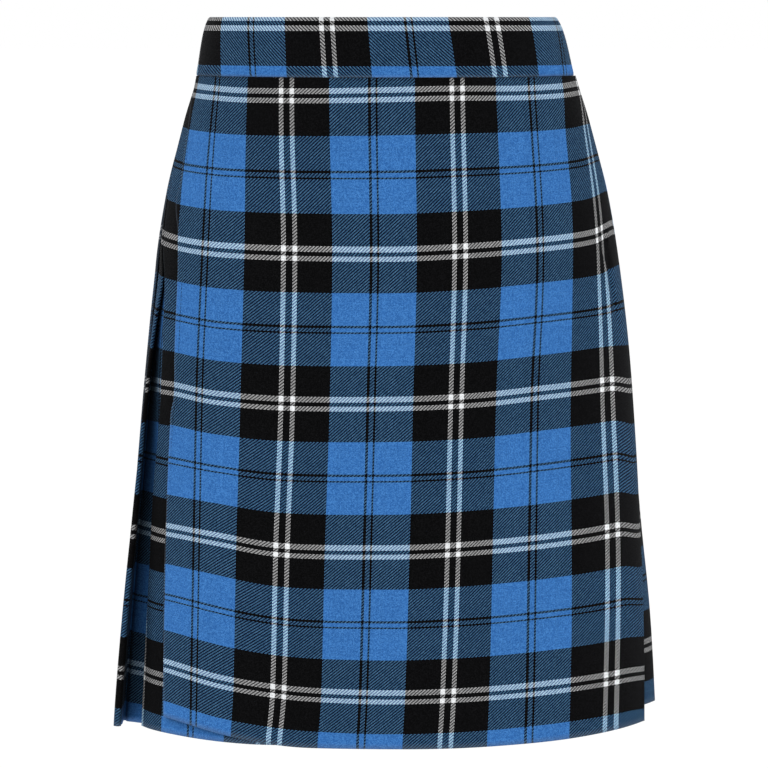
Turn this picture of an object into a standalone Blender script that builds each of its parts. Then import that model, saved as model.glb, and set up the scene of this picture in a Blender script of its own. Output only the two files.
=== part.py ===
"""A worn kilt: waistband, over apron, under apron and a knife pleated back, as walls of cloth round a hollow.

Metres, Z up, the front to -Y, the wearer's left to +X. The origin is the middle of the waistband.
Each piece is a row of plan profiles, one under the other, skinned and given its thickness.
A profile is worked out along the section of the garment at that height: "along" runs round the section from
the wearer's left side through the back to the right side, and "out" is the distance outwards from it.
"""
import math
from collections import namedtuple

import bmesh
import bpy

for thing in list(bpy.context.scene.objects):
    bpy.data.objects.remove(thing, do_unlink=True)

MM = 0.001
TOP_TO_HEM = 0.610
BAND_HEIGHT = 0.050
BAND_WALL = 3.0 * MM
CLOTH_WALL = 1.2 * MM
SEAM_GAP = 0.3 * MM
FELL = 0.215
PLEATS = 20
PLEATS_PER_LENGTH = (7, 6, 7)
CLOTH_PER_PLEAT = 0.0712
STITCHED_STEP = 1.75 * MM
HEM_STEP = 3.2 * MM
APRON_UNDERLAP = 0.034
UNDER_FREE_ANGLE = -48.0
BAND_UNDER_END_ANGLE = -52.0
BAND_OVER_END_ANGLE = 4.0
SHARED_FROM = -144.0
SHARED_STEP = 6.6
SHARED_BY_OVER = 18
SHARED_BY_UNDER = 14
HEM_LIFT = 15.0 * MM
SIDE_LIFT = 3.0 * MM
FIRST_PLEATS_LIFT = 9.0 * MM
HIP_STEP = 1.3 * MM
HIDDEN_LIFT = 2.5 * MM
FIRST_FLARES = (2.0 * MM, 4.5 * MM, 7.0 * MM)
LAST_FLARE = 22.0 * MM

# Half widths and half depths of the garment, by the drop from its top edge.
Section = namedtuple("Section", "drop right left front back")
SECTIONS = (
    Section(0.000, 0.1515, 0.1485, 0.1140, 0.1120),
    Section(0.009, 0.1535, 0.1533, 0.1155, 0.1135),
    Section(0.050, 0.1612, 0.1642, 0.1215, 0.1210),
    Section(0.090, 0.1735, 0.1768, 0.1283, 0.1310),
    Section(0.150, 0.1888, 0.1936, 0.1352, 0.1432),
    Section(0.215, 0.1985, 0.2047, 0.1402, 0.1502),
    Section(0.290, 0.2046, 0.2138, 0.1442, 0.1532),
    Section(0.370, 0.2094, 0.2202, 0.1476, 0.1548),
    Section(0.450, 0.2138, 0.2256, 0.1501, 0.1562),
    Section(0.530, 0.2183, 0.2316, 0.1521, 0.1572),
    Section(0.610, 0.2228, 0.2362, 0.1533, 0.1580),
)

# Angles towards the front, past the right side, of the over apron's free edge and of the under apron's fold,
# and past the left side of the over apron's own fold.
Edge = namedtuple("Edge", "drop free fold left_fold")
EDGES = (
    Edge(0.050, 9.0, 3.0, 2.0),
    Edge(0.095, 15.5, 8.0, 2.0),
    Edge(0.150, 19.5, 11.5, 2.5),
    Edge(0.215, 26.0, 15.5, 3.0),
    Edge(0.290, 28.0, 16.0, 4.0),
    Edge(0.370, 30.0, 18.0, 5.5),
    Edge(0.450, 31.3, 19.3, 8.0),
    Edge(0.530, 33.0, 19.5, 13.0),
    Edge(0.610, 34.3, 19.0, 16.8),
)

BAND_ROWS = (0.0, 0.009, 0.028, 0.050)
SKIRT_ROWS = (0.0509, 0.085, 0.120, 0.160, 0.205, 0.255, 0.320, 0.400, 0.480, 0.550, 0.610)


def table_value(table, column, drop):
    """A smooth reading of one column between the rows of a table."""
    rows = [(row.drop, getattr(row, column)) for row in table]
    if drop <= rows[0][0]:
        return rows[0][1]
    if drop >= rows[-1][0]:
        return rows[-1][1]
    slopes = [(b[1] - a[1]) / (b[0] - a[0]) for a, b in zip(rows, rows[1:])]
    tangents = [slopes[0]]
    for before, after in zip(slopes, slopes[1:]):
        same_way = before * after > 0
        tangents.append(2 * before * after / (before + after) if same_way else 0.0)
    tangents.append(slopes[-1])
    for i, (low, high) in enumerate(zip(rows, rows[1:])):
        if drop <= high[0]:
            span = high[0] - low[0]
            t = (drop - low[0]) / span
            return (
                low[1] * (1 + 2 * t) * (1 - t) ** 2
                + high[1] * t * t * (3 - 2 * t)
                + span * tangents[i] * t * (1 - t) ** 2
                - span * tangents[i + 1] * t * t * (1 - t)
            )
    return rows[-1][1]


def ease(value):
    value = min(1.0, max(0.0, value))
    return value * value * (3 - 2 * value)


class Ring:
    """The closed section of the garment at one drop, read by the distance along it."""

    STEPS = 720

    def __init__(self, drop):
        self.drop = drop
        self.axes = [table_value(SECTIONS, name, drop) for name in ("right", "left", "front", "back")]
        self.lengths = [0.0]
        last = self.at(0.0)[0]
        for i in range(1, self.STEPS + 1):
            here = self.at(2 * math.pi * i / self.STEPS)[0]
            self.lengths.append(self.lengths[-1] + math.dist(last, here))
            last = here
        self.round = self.lengths[-1]

    def at(self, angle):
        right, left, front, back = self.axes
        wide = left if math.cos(angle) > 0 else right
        deep = back if math.sin(angle) > 0 else front
        normal = (math.cos(angle) / wide, math.sin(angle) / deep)
        size = math.hypot(*normal)
        point = (wide * math.cos(angle), deep * math.sin(angle))
        return point, (normal[0] / size, normal[1] / size)

    def along(self, degrees):
        turns, rest = divmod(degrees / 360.0, 1.0)
        place = rest * self.STEPS
        low = min(self.STEPS - 1, int(place))
        part = self.lengths[low] + (place - low) * (self.lengths[low + 1] - self.lengths[low])
        return turns * self.round + part

    def degrees(self, along):
        turns, rest = divmod(along, self.round)
        low, high = 0, self.STEPS
        while high - low > 1:
            middle = (low + high) // 2
            if self.lengths[middle] <= rest:
                low = middle
            else:
                high = middle
        part = (rest - self.lengths[low]) / (self.lengths[high] - self.lengths[low])
        return 360.0 * (turns + (low + part) / self.STEPS)

    def place(self, along, out, lift=0.0):
        point, normal = self.at(math.radians(self.degrees(along)))
        z = BAND_HEIGHT / 2 - self.drop + lift
        return (point[0] + normal[0] * out, point[1] + normal[1] * out, z)


def opened(drop):
    return ease((drop - FELL) / (TOP_TO_HEM - FELL)) ** 0.8


def step_at(drop):
    return STITCHED_STEP + (HEM_STEP - STITCHED_STEP) * opened(drop)


def side_share(degrees):
    """0 at the middle of the front, 1 near the wearer's right side."""
    return ease((-degrees - 90.0) / 55.0)


def soft_wave(degrees, drop):
    """The slow waves of the hanging aprons, stronger towards the hem."""
    turn = math.radians(degrees)
    slow = 0.7 * math.sin(5.0 * turn + 0.6) + 0.5 * math.sin(9.0 * turn + 3.0 * drop)
    wave = slow + 0.3 * math.sin(14.0 * turn + 1.9)
    return wave * MM * ease((drop - 0.1) / 0.45) * ease((-degrees - 6.0) / 25.0)


def over_out(degrees, drop):
    lifted = side_share(degrees) * (1.9 + 1.9 * opened(drop)) * MM
    step_out = HIP_STEP * ease((degrees + 60.0) / 50.0) * (1 - ease((drop - 0.075) / 0.06))
    return lifted - 0.6 * MM + step_out + soft_wave(degrees, drop)


def over_lift(degrees, drop):
    """The hem rises at the free corner, and a little towards the fold."""
    corner = HEM_LIFT * ease((-degrees - 106.0) / 44.0) * ease((drop - 0.25) / 0.36) ** 1.3
    return corner + side_lift(degrees, drop)


def side_lift(degrees, drop):
    return SIDE_LIFT * ease((degrees + 75.0) / 55.0) * ease((drop - 0.3) / 0.3)


def pleat_lift(ring, along):
    """The first pleats on the wearer's left hang a little higher than the rest."""
    rise, start, end = (ring.along(degrees) for degrees in (-12.0, 8.0, 62.0))
    fade = 1 - ease((along - start) / (end - start))
    grown = ease((along - rise) / (start - rise)) * ease((ring.drop - 0.3) / 0.3)
    return ((FIRST_PLEATS_LIFT - SIDE_LIFT) * grown + side_lift(0.0, ring.drop)) * fade


def under_lift(degrees, drop):
    """The hidden part of the under apron hangs a little shorter than the over apron."""
    return side_lift(degrees, drop) + HIDDEN_LIFT * ease((degrees + 122.0) / 22.0) * ease((drop - 0.3) / 0.3)


def under_out(degrees, drop):
    return side_share(degrees) * 2.1 * MM - 2.7 * MM + soft_wave(degrees, drop)


def flare(pleat, drop):
    """How far the fold of a pleat stands out, from none at the fell to the most at the hem."""
    if pleat < 0:
        return -0.6 * MM
    share = ease((drop - FELL) / (TOP_TO_HEM - FELL))
    amount = (8.5 + 2.4 * math.sin(1.9 * pleat + 0.7) + 1.8 * math.sin(0.8 * pleat)) * MM * share ** 0.7
    if pleat < len(FIRST_FLARES):
        amount = FIRST_FLARES[pleat] * share
    if pleat == PLEATS - 1:
        amount = LAST_FLARE * share ** 0.7
    return amount - 0.6 * MM


def fold_places(ring):
    """Where the folds of the pleats are, from the over apron's own fold to the last pleat."""
    start = ring.along(-table_value(EDGES, "left_fold", ring.drop))
    gap = 3.6 * MM + 3.2 * MM * opened(ring.drop)
    end = ring.along(180.0 + table_value(EDGES, "fold", ring.drop)) - gap
    pitch = (end - start) / PLEATS
    shift = 0.9 * MM * opened(ring.drop)
    return [
        start + pitch * i + (shift * math.sin(2.3 * i) if 0 < i < PLEATS else 0.0)
        for i in range(PLEATS + 1)
    ]


def underlap(ring):
    folds = fold_places(ring)
    pitch = (folds[-1] - folds[0]) / PLEATS
    return min((CLOTH_PER_PLEAT - pitch) / 2, 0.84 * pitch)


def turn(along, top, size, way):
    """The three points of a folded edge that points along way, from the upper layer to the lower."""
    half = size / 2
    return [
        (along - way * 0.35 * half, top),
        (along + way * 0.9 * half, top - half),
        (along - way * 0.35 * half, top - size),
    ]


def spread(start, end, count):
    """count evenly spaced places from start, short of end."""
    return [start + (end - start) * i / count for i in range(count)]


def shared_places(ring, count, end):
    """Places both aprons have in common, so that their walls stay parallel, and from there on to end."""
    places = [ring.along(SHARED_FROM + SHARED_STEP * i) for i in range(count)]
    return places[:-1] + spread(places[-1], end, 3) + [end]


def over_apron_profile(ring):
    drop = ring.drop
    free = ring.along(-180.0 + table_value(EDGES, "free", drop))
    fold = fold_places(ring)[0]
    step = step_at(drop)
    points = []
    face = spread(free, ring.along(SHARED_FROM), 5) + shared_places(ring, SHARED_BY_OVER, fold - 3 * MM)
    for along in face:
        degrees = ring.degrees(along)
        points.append((along, over_out(degrees, drop), over_lift(degrees, drop)))
    top = flare(-1, drop)
    inside = turn(fold, top, step, 1)
    back = fold - APRON_UNDERLAP
    inside.append(((fold + back) / 2, top - step))
    inside += turn(back, top - step, step, -1)
    inside.append((fold - APRON_UNDERLAP / 2 - SEAM_GAP / 2, top - 2 * step))
    return points + [(along, out, side_lift(ring.degrees(along), drop)) for along, out in inside]


def pleat_profile(ring, first, last, ends_in_apron):
    """Pleats first to last - 1, from the seam inside the fold before them to the seam in their last one."""
    drop = ring.drop
    step = step_at(drop)
    folds = fold_places(ring)
    lap = underlap(ring)
    lap_before = APRON_UNDERLAP if first == 0 else lap
    start_out = flare(first - 1, drop) - 2 * step
    points = [(folds[first] - lap_before / 2 + SEAM_GAP / 2, start_out)]
    if first > 0:
        slope = face_slope(ring, folds, first - 1, step)
        points = [(points[0][0], start_out - slope * lap / 2)]
    for pleat in range(first, last):
        tip = folds[pleat + 1]
        emerges = flare(pleat - 1, drop) - 2 * step
        top = flare(pleat, drop)
        slope = (top - emerges) / (tip - folds[pleat])
        final = ends_in_apron and pleat == last - 1
        points.append((folds[pleat], emerges))
        points.append((tip - lap / 2, top - slope * lap / 2))
        size = step * 1.9 if final else step
        size = min(size, step + 2.6 * MM * opened(drop))
        points += turn(tip, top, size, 1)
        at_back = top - slope * lap
        points.append((tip - lap / 2, top - slope * lap / 2 - (step + size) / 2))
        points += turn(tip - lap, at_back - step, step, -1)
        if final:
            bridge = bridge_out(drop)
            points.append((tip - lap / 2, at_back - 2 * step + (bridge - at_back + 2 * step) * 0.45))
            points.append((tip, bridge))
            points.append((tip + bridge_seam(ring) - SEAM_GAP / 2, bridge))
        elif pleat == last - 1:
            points.append((tip - lap / 2 - SEAM_GAP / 2, top - slope * lap / 2 - 2 * step))
        else:
            points.append((tip - lap / 2, top - slope * lap / 2 - 2 * step))
    return [(along, out, pleat_lift(ring, along)) for along, out in points]


def face_slope(ring, folds, pleat, step):
    emerges = flare(pleat - 1, ring.drop) - 2 * step
    return (flare(pleat, ring.drop) - emerges) / (folds[pleat + 1] - folds[pleat])


def bridge_out(drop):
    return -0.6 * MM - 2 * step_at(drop)


def bridge_seam(ring):
    return APRON_UNDERLAP * 0.45


def under_apron_profile(ring):
    drop = ring.drop
    step = step_at(drop)
    tip = ring.along(180.0 + table_value(EDGES, "fold", drop))
    top = -0.6 * MM
    last = fold_places(ring)[-1]
    inner = tip + APRON_UNDERLAP
    points = [(last + bridge_seam(ring) + SEAM_GAP / 2, bridge_out(drop))]
    points += turn(inner, top - step, step, 1)[::-1]
    points.append(((inner + tip) / 2, top - step))
    points += turn(tip, top, step, -1)[::-1]
    end = ring.along(UNDER_FREE_ANGLE)
    near = tip - ring.round
    face = spread(near + 3 * MM, ring.along(SHARED_FROM), 5) + shared_places(ring, SHARED_BY_UNDER, end)
    for along in face:
        degrees = ring.degrees(along)
        points.append((along + ring.round, under_out(degrees, drop), under_lift(degrees, drop)))
    return points


def band_profile(ring):
    """The band from its free end on the wearer's right, once round, and on beneath itself at the front."""
    start = ring.along(-180.0 + BAND_OVER_END_ANGLE)
    end = ring.along(360.0 + BAND_UNDER_END_ANGLE)
    count = 78
    points = []
    for i in range(count + 1):
        along = start + (end - start) * i / count
        degrees = ring.degrees(along)
        over = side_share(degrees) * 1.2 * MM - BAND_WALL / 2 if degrees < 0 else -BAND_WALL / 2
        sunk = (BAND_WALL + 0.6 * MM) * ease((degrees - 140.0) / 34.0)
        raised = 1.2 * MM * side_share(degrees - 360.0) if degrees > 180 else 0.0
        points.append((along, over - sunk + raised))
    return points


def sheet_object(name, rows, profile, wall, colour, collection, roughness):
    rings = [Ring(drop) for drop in rows]
    mesh = bpy.data.meshes.new(name)
    skin = bmesh.new()
    lines = []
    for ring in rings:
        line = [skin.verts.new(ring.place(*point)) for point in profile(ring)]
        lines.append(line)
    for upper, lower in zip(lines, lines[1:]):
        for i in range(len(upper) - 1):
            skin.faces.new((upper[i], lower[i], lower[i + 1], upper[i + 1]))
    skin.normal_update()
    skin.to_mesh(mesh)
    skin.free()
    thing = bpy.data.objects.new(name, mesh)
    collection.objects.link(thing)
    solid = thing.modifiers.new("Thickness", "SOLIDIFY")
    solid.thickness = wall
    solid.offset = 0.0
    solid.use_even_offset = True
    solid.use_quality_normals = True
    finish = bpy.data.materials.new(name + "_cloth")
    finish.use_nodes = True
    shader = finish.node_tree.nodes["Principled BSDF"]
    shader.inputs["Base Color"].default_value = (*colour, 1.0)
    shader.inputs["Roughness"].default_value = roughness
    mesh.materials.append(finish)
    return thing


def length_profile(first, last, ends_in_apron):
    return lambda ring: pleat_profile(ring, first, last, ends_in_apron)


kilt = bpy.data.collections.new("scottish_kilt")
bpy.context.scene.collection.children.link(kilt)

sheet_object("waistband", BAND_ROWS, band_profile, BAND_WALL, (0.02, 0.05, 0.12), kilt, 0.9)
sheet_object("over_apron", SKIRT_ROWS, over_apron_profile, CLOTH_WALL, (0.05, 0.16, 0.36), kilt, 0.88)
sheet_object("under_apron", SKIRT_ROWS, under_apron_profile, CLOTH_WALL, (0.04, 0.13, 0.30), kilt, 0.88)
names = ("left_pleats", "back_pleats", "right_pleats")
first = 0
for name, count in zip(names, PLEATS_PER_LENGTH):
    last = first + count
    profile = length_profile(first, last, last == PLEATS)
    sheet_object(name, SKIRT_ROWS, profile, CLOTH_WALL, (0.045, 0.14, 0.33), kilt, 0.88)
    first = last
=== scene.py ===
import math
from bisect import bisect_right
from collections import namedtuple

import bmesh
import bpy
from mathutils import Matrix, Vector


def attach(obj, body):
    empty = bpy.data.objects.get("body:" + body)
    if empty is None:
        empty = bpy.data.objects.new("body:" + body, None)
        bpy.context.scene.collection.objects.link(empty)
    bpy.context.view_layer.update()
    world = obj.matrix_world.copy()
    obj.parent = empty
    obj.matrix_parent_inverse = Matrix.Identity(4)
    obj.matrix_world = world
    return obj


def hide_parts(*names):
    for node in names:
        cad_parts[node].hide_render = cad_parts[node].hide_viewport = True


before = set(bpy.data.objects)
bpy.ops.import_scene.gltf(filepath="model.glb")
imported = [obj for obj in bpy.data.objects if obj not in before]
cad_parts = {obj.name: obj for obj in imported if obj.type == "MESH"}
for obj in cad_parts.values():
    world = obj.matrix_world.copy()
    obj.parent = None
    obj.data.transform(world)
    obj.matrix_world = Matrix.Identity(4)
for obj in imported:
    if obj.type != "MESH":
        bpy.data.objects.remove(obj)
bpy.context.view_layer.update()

MM = 0.001
TOP_TO_HEM = 0.610
BAND_HEIGHT = 0.050
BAND_WALL = 3.0 * MM
CLOTH_WALL = 0.8 * MM
CLOTH_INSET = 0.6 * MM
FELL = 0.215
PLEATS = 20
PLEATS_PER_LENGTH = (7, 6, 7)
CLOTH_PER_PLEAT = 0.0712
STITCHED_STEP = 1.75 * MM
HEM_STEP = 3.2 * MM
APRON_UNDERLAP = 0.034
LAST_SEAM = 0.45 * APRON_UNDERLAP
SEAM_GAP = 0.3 * MM
UNDER_FREE_ANGLE = -48.0
BAND_UNDER_END_ANGLE = -52.0
BAND_OVER_END_ANGLE = 4.0
HEM_LIFT = 15.0 * MM
SIDE_LIFT = 3.0 * MM
FIRST_PLEATS_LIFT = 15.0 * MM
FIRST_ROWS_RISE = 10.0 * MM
HIP_STEP = 1.3 * MM
HIDDEN_LIFT = 2.5 * MM
UNDER_INSET = 2.7 * MM
UNDER_SIDE_OUT = 2.1 * MM
MEAN_FLARE = 8.5 * MM
FIRST_FLARES = (2.0 * MM, 4.5 * MM, 7.0 * MM)
LAST_FLARE = 22.0 * MM
LAST_ROUND_SHARE = 1.9
LAST_ROUND_MORE = 2.6 * MM
LAST_GAP = 3.6 * MM
LAST_GAP_OPENS = 3.2 * MM
PLEAT_SHIFT = 0.9 * MM
PLEAT_WAVER = 0.35 * MM
FIRST_PLEATS_END_ANGLE = 62.0
SKIRT_TOP = 0.0503
ROW_SPACING = 5.0 * MM
EDGE_TURNING = 8.0 * MM
TURNING_STEP = 1.0 * MM
RUBBED_WIDTH = 1.1 * MM
GROOVE_DEPTH = 0.3 * MM
GROOVE_WIDTH = 0.7 * MM
STITCH_LENGTH = 2.6 * MM
STITCH_GAP = 0.7 * MM
STITCH_RADIUS = 0.22 * MM
STITCH_SIDES = 6
FACE_POINTS = 190
UNDER_POINTS = 120
BAND_POINTS = 260

# Half widths and half depths of the garment, by the drop from its top edge.
Section = namedtuple("Section", "drop right left front back")
SECTIONS = (
    Section(0.000, 0.1498, 0.1485, 0.1140, 0.1120),
    Section(0.009, 0.1535, 0.1533, 0.1155, 0.1135),
    Section(0.050, 0.1612, 0.1642, 0.1215, 0.1210),
    Section(0.090, 0.1735, 0.1768, 0.1283, 0.1310),
    Section(0.150, 0.1888, 0.1936, 0.1352, 0.1432),
    Section(0.215, 0.1985, 0.2047, 0.1402, 0.1502),
    Section(0.290, 0.2046, 0.2138, 0.1442, 0.1532),
    Section(0.370, 0.2094, 0.2202, 0.1476, 0.1548),
    Section(0.450, 0.2138, 0.2256, 0.1501, 0.1562),
    Section(0.530, 0.2183, 0.2316, 0.1521, 0.1572),
    Section(0.610, 0.2228, 0.2362, 0.1533, 0.1580),
)

# Angles towards the front, past the right side, of the last pleat and of the under apron's fold, which
# stand apart below the fell, and past the left side of the over apron's own fold.
Edge = namedtuple("Edge", "drop last fold left_fold")
EDGES = (
    Edge(0.050, 3.0, 3.0, 2.0),
    Edge(0.095, 8.0, 8.0, 2.0),
    Edge(0.150, 11.5, 11.5, 2.5),
    Edge(0.195, 14.5, 14.8, 2.8),
    Edge(0.222, 18.4, 19.4, 3.1),
    Edge(0.241, 17.8, 20.7, 3.4),
    Edge(0.262, 16.6, 21.0, 3.7),
    Edge(0.290, 16.0, 21.7, 4.0),
    Edge(0.340, 17.0, 22.1, 4.9),
    Edge(0.370, 18.0, 21.2, 5.5),
    Edge(0.413, 18.8, 19.8, 6.8),
    Edge(0.450, 19.3, 19.7, 8.0),
    Edge(0.530, 19.5, 19.5, 13.0),
    Edge(0.610, 19.0, 19.4, 16.8),
)

# The over apron's free edge, which wavers: its angle past the right side, and how far inside it the
# stitching runs.
FreeEdge = namedtuple("FreeEdge", "drop free stitch")
FREE_EDGE = (
    FreeEdge(0.050, 8.0, 4.5 * MM),
    FreeEdge(0.064, 10.9, 4.5 * MM),
    FreeEdge(0.090, 17.4, 5.0 * MM),
    FreeEdge(0.115, 20.4, 6.0 * MM),
    FreeEdge(0.141, 22.9, 7.0 * MM),
    FreeEdge(0.153, 21.9, 8.0 * MM),
    FreeEdge(0.163, 22.9, 8.0 * MM),
    FreeEdge(0.182, 26.4, 7.5 * MM),
    FreeEdge(0.222, 29.0, 6.5 * MM),
    FreeEdge(0.280, 30.0, 6.0 * MM),
    FreeEdge(0.322, 31.0, 4.0 * MM),
    FreeEdge(0.338, 29.9, 3.6 * MM),
    FreeEdge(0.400, 30.1, 3.2 * MM),
    FreeEdge(0.470, 30.6, 3.0 * MM),
    FreeEdge(0.540, 31.8, 3.0 * MM),
    FreeEdge(0.610, 33.2, 3.0 * MM),
)

# The check: which yarn each thread of the repeat is. The white warps are a thread fewer than the wefts.
WARP_SETT = (
    ("black", 38), ("white", 5), ("black", 7), ("white", 5), ("black", 38),
    ("blue", 41), ("black", 2), ("blue", 6), ("black", 2), ("blue", 40),
)
WEFT_SETT = (
    ("black", 38), ("white", 6), ("black", 6), ("white", 6), ("black", 38),
    ("blue", 40), ("black", 2), ("blue", 6), ("black", 2), ("blue", 40),
)
REPEAT = sum(count for _, count in WARP_SETT)
THREAD = 0.7826 * MM
FIRST_THREAD = 40 * REPEAT

# Where chosen warp threads of the over apron lie, in millimetres from the middle of the front.
Warp = namedtuple("Warp", "drop edge_blue white_a thin_a white_b thin_b white_c")
WARP_THREADS = (-45, 47, 139, 231, 323, 415)
WARPS = (
    Warp(0.065, -157.3, -82.8, -9.4, 62.2, 133.0, 217.0),
    Warp(0.098, -158.1, -82.1, -9.1, 62.7, 134.0, 209.8),
    Warp(0.191, -160.8, -79.5, -7.9, 64.3, 136.9, 211.9),
    Warp(0.320, -165.8, -81.5, -10.8, 60.8, 130.4, 212.6),
    Warp(0.444, -167.3, -86.2, -14.0, 58.1, 128.0, 216.6),
    Warp(0.565, -168.6, -89.2, -17.4, 54.3, 126.0, 212.0),
    Warp(0.607, -169.1, -93.2, -19.6, 51.8, 124.6, 210.0),
)

# The warp on the over apron's own fold below the hip, where the cloth spreads towards it.
THREAD_AT_LEFT_FOLD = 452.0

# The drop of the middle weft of each white pair at the middle of the front, and how far the same weft
# rises above that, in millimetres, at nine angles from the wearer's right side round the front.
Weft = namedtuple("Weft", "drop far free near right middle left beyond side fold")
WEFT_ANGLES = (-180.0, -152.0, -132.0, -114.0, -90.0, -70.0, -50.0, -28.0, -10.0)
FIRST_WHITE = 47
WEFTS = (
    Weft(0.0640, 2.8, 0.4, -1.2, -1.2, 0.0, 1.0, 0.6, 1.7, 3.3),
    Weft(0.1958, 10.6, 4.4, 1.1, 0.2, 0.0, 2.3, 6.0, 10.0, 16.0),
    Weft(0.3209, 5.0, 6.1, 1.6, 0.2, 0.8, 3.0, 7.5, 9.6, 3.6),
    Weft(0.4440, 6.4, 2.4, 2.4, -0.2, 0.0, 2.4, 4.8, 6.2, -0.3),
    Weft(0.5665, 7.3, 2.0, 1.1, 2.4, 0.5, 1.6, 2.4, 1.0, -2.7),
)

# Where chosen warp threads of the band lie, in millimetres from the middle of the front.
Stripe = namedtuple("Stripe", "thread top bottom")
BAND_STRIPES = (
    Stripe(-129, -202.0, -206.0),
    Stripe(-90, -157.1, -152.1),
    Stripe(0, -85.5, -83.2),
    Stripe(47, -47.9, -44.4),
    Stripe(94, -13.3, -9.1),
    Stripe(184, 54.0, 61.6),
    Stripe(231, 93.9, 101.9),
    Stripe(278, 136.8, 144.0),
    Stripe(323, 182.7, 183.8),
)
BACK_ANGLES = (60.0, 120.0, 180.0, 240.0, 308.0)
BAND_ROWS = (1.0, 0.988, 0.95, 0.89, 0.80, 0.70, 0.60, 0.50, 0.40, 0.30, 0.20, 0.12, 0.06)
BAND_TOP_THREAD = 41.0
BAND_THREADS_PER_METRE = 1304.0

# Threads at the folds of the first and the last pleat, how many more lie on the cloth that leads on
# beneath the last one to the under apron, and how far the fold before it is shifted to show black too.
FIRST_TIP_THREAD = 38.0
LAST_TIP_THREAD = 85.0 + 9 * REPEAT
BRIDGE_THREADS = 42.0
BLACK_SHIFT = 7.0

# The thread on the under apron's folded edge by the drop, and how wide its threads lie there.
UnderTip = namedtuple("UnderTip", "drop thread wide")
UNDER_TIPS = (
    UnderTip(0.050, 241.0, 1.35),
    UnderTip(0.200, 240.5, 1.35),
    UnderTip(0.350, 241.0, 1.20),
    UnderTip(0.450, 240.5, 1.08),
    UnderTip(0.495, 237.0, 1.00),
    UnderTip(0.560, 232.5, 1.00),
    UnderTip(0.610, 231.5, 1.00),
)

# Soft creases, given one by one: from one place to another, how wide and how deep, in millimetres.
Crease = namedtuple("Crease", "degrees drop to_degrees to_drop wide deep")
MM_PER_DEGREE = 3.5
CREASES = (
    Crease(-20.0, 0.168, -17.5, 0.272, 7.0, -2.4),
    Crease(-25.5, 0.180, -19.0, 0.214, 3.0, -0.9),
    Crease(-14.5, 0.176, -20.0, 0.204, 2.4, 1.0),
    Crease(-19.5, 0.205, -15.5, 0.238, 2.6, 0.9),
    Crease(-40.0, 0.300, -52.0, 0.545, 16.0, -1.1),
    Crease(-64.0, 0.075, -60.0, 0.190, 9.0, -0.5),
    Crease(-98.0, 0.330, -103.0, 0.600, 19.0, 1.0),
    Crease(-118.0, 0.085, -121.0, 0.240, 10.0, 0.6),
    Crease(-131.0, 0.250, -128.0, 0.450, 12.0, -0.8),
    Crease(-146.0, 0.120, -150.0, 0.210, 5.0, -0.8),
    Crease(-78.0, 0.470, -80.0, 0.610, 12.0, -0.9),
    Crease(24.0, 0.260, 28.0, 0.470, 6.0, -1.2),
    Crease(58.0, 0.240, 55.0, 0.420, 8.0, 1.1),
    Crease(83.0, 0.090, 86.0, 0.260, 7.0, -0.8),
    Crease(112.0, 0.300, 108.0, 0.560, 9.0, 1.3),
    Crease(139.0, 0.220, 143.0, 0.380, 6.0, -1.1),
    Crease(161.0, 0.310, 158.0, 0.520, 7.0, 1.2),
)

CAMERA_PLACE = (0.0, -3.12, 0.025)
CAMERA_LENS = 168.75
CAMERA_SENSOR = 36.0
FOCAL_PIXELS = 3600
LEVEL_ABOVE_MIDDLE_PIXELS = 367
CAMERA_DOWN = math.atan(LEVEL_ABOVE_MIDDLE_PIXELS / FOCAL_PIXELS)
FLOOR_Z = -1.06


class Curve:
    """A smooth reading between given pairs that never swings past them, held or carried on at its ends."""

    def __init__(self, pairs, beyond=0.0):
        self.places = [pair[0] for pair in pairs]
        self.values = [pair[1] for pair in pairs]
        self.beyond = beyond
        slopes = [
            (b[1] - a[1]) / (b[0] - a[0]) for a, b in zip(pairs, pairs[1:])
        ]
        self.tangents = [slopes[0]]
        for before, after in zip(slopes, slopes[1:]):
            same_way = before * after > 0
            self.tangents.append(2 * before * after / (before + after) if same_way else 0.0)
        self.tangents.append(slopes[-1])

    def __call__(self, place):
        if place <= self.places[0]:
            return self.values[0] + self.beyond * (place - self.places[0])
        if place >= self.places[-1]:
            return self.values[-1] + self.beyond * (place - self.places[-1])
        i = bisect_right(self.places, place) - 1
        span = self.places[i + 1] - self.places[i]
        t = (place - self.places[i]) / span
        return (
            self.values[i] * (1 + 2 * t) * (1 - t) ** 2
            + self.values[i + 1] * t * t * (3 - 2 * t)
            + span * self.tangents[i] * t * (1 - t) ** 2
            - span * self.tangents[i + 1] * t * t * (1 - t)
        )


def column(table, name, beyond=0.0):
    return Curve([(row.drop, getattr(row, name)) for row in table], beyond)


SECTION_CURVES = [column(SECTIONS, name) for name in ("right", "left", "front", "back")]
LAST = column(EDGES, "last")
FOLD = column(EDGES, "fold")
LEFT_FOLD = column(EDGES, "left_fold")
FREE = column(FREE_EDGE, "free")
STITCH_INSET = column(FREE_EDGE, "stitch")
UNDER_TIP_THREAD = column(UNDER_TIPS, "thread")
UNDER_TIP_WIDE = column(UNDER_TIPS, "wide")
WARP_CURVES = [column(WARPS, name) for name in Warp._fields[1:]]
RISE_CURVES = [column(WEFTS, name) for name in Weft._fields[1:]]
WEFT_BY_DROP = Curve(
    [(row.drop, FIRST_WHITE + REPEAT * i) for i, row in enumerate(WEFTS)],
    REPEAT / (WEFTS[-1].drop - WEFTS[-2].drop),
)


def ease(value):
    value = min(1.0, max(0.0, value))
    return value * value * (3 - 2 * value)


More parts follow.
